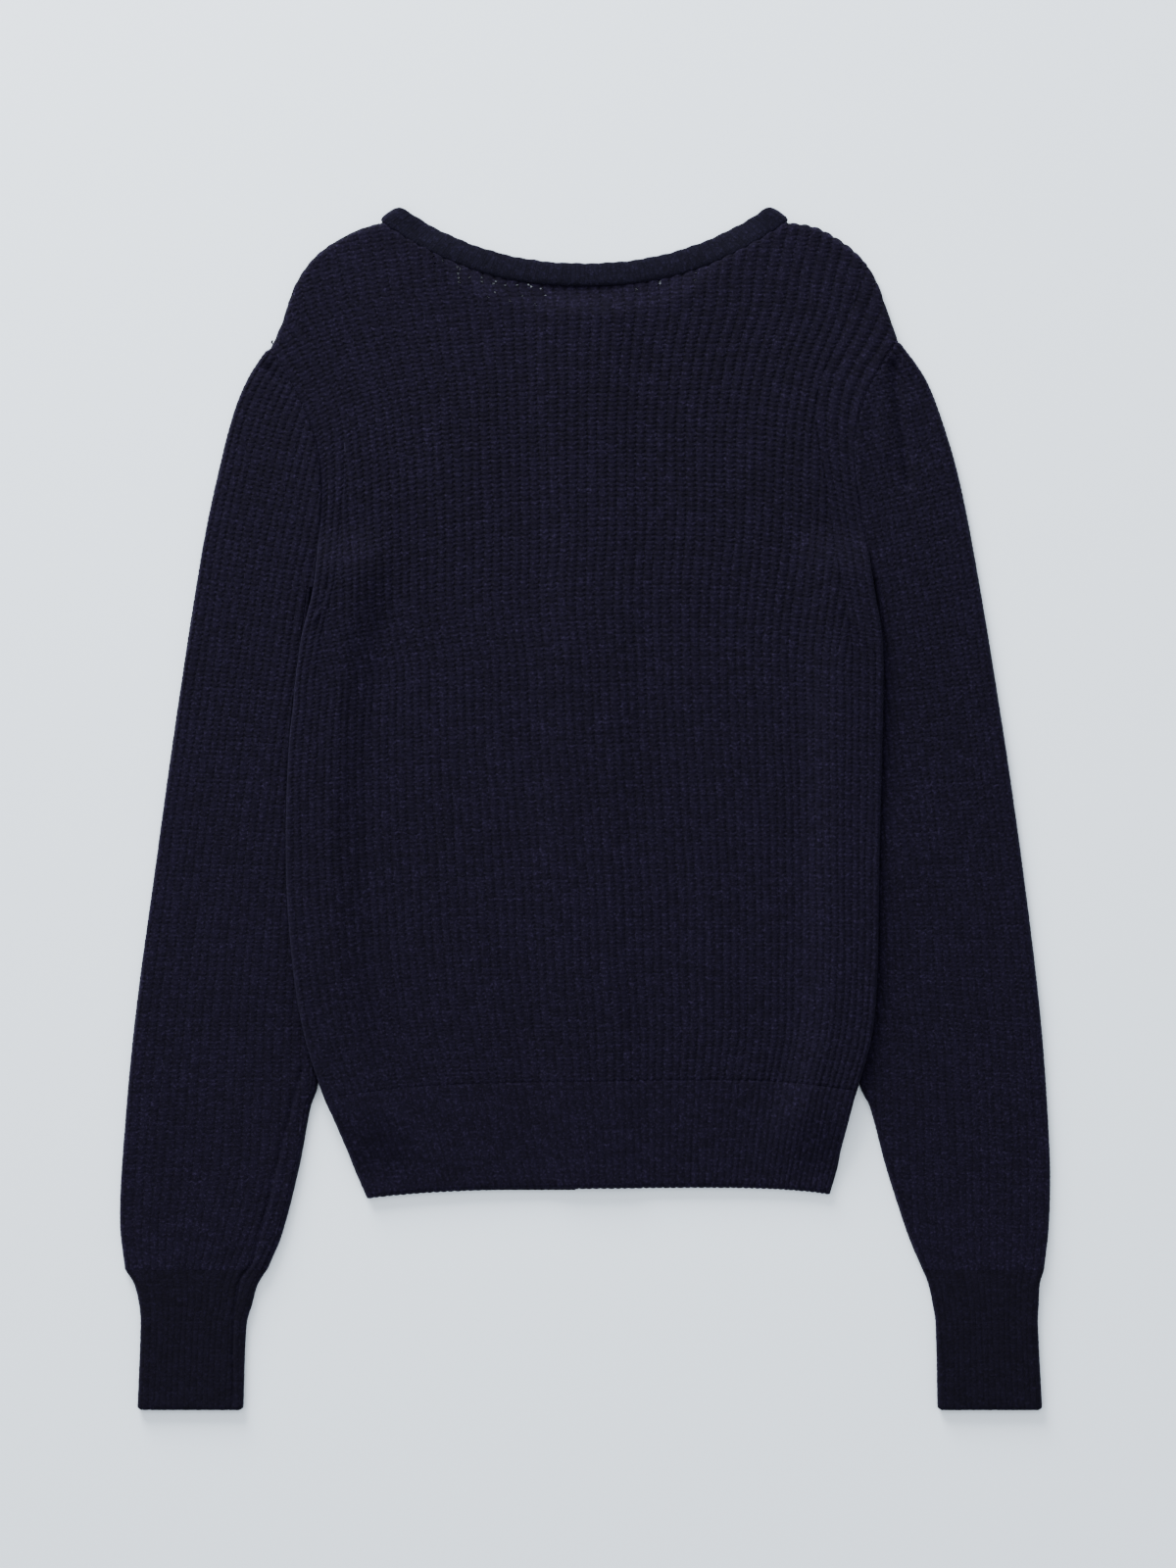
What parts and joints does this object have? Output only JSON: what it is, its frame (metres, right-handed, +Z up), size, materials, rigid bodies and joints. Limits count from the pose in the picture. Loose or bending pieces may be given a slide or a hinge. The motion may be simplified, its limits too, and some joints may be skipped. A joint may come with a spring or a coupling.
{
  "type": "cardigan",
  "caption": "Rib-knit wool cardigan with a scooped neck, full sleeves and long cuffs, buttoned and laid flat face down with its back up.",
  "frame": {"origin": "on the surface that the garment lies on, under the middle of its laid outline", "axes": "+Y from the hem to the neck, +X to the wearer's right, +Z up off the surface, out of the garment's back"},
  "size_m": [0.5678, 0.7365, 0.0129],
  "materials": {
    "wool_rib": "matt, brushed navy wool in a raised rib",
    "wool_band": "matt navy wool in a fine, firm knit",
    "button": "dark navy, soft gloss"
  },
  "bodies": {
    "root": {"back": "wool_rib", "hem_back": "wool_rib", "front_left": "wool_rib", "front_right": "wool_rib", "hem_front_left": "wool_rib", "hem_front_right": "wool_rib", "sleeve_left": "wool_rib", "sleeve_right": "wool_rib", "cuff_left": "wool_rib", "cuff_right": "wool_rib", "neckband": "wool_band", "buttonhole_band": "wool_band", "button_band": "wool_band", "button_1": "button", "button_2": "button", "button_3": "button", "button_4": "button", "button_5": "button", "button_6": "button", "button_7": "button"}
  },
  "joints": []
}
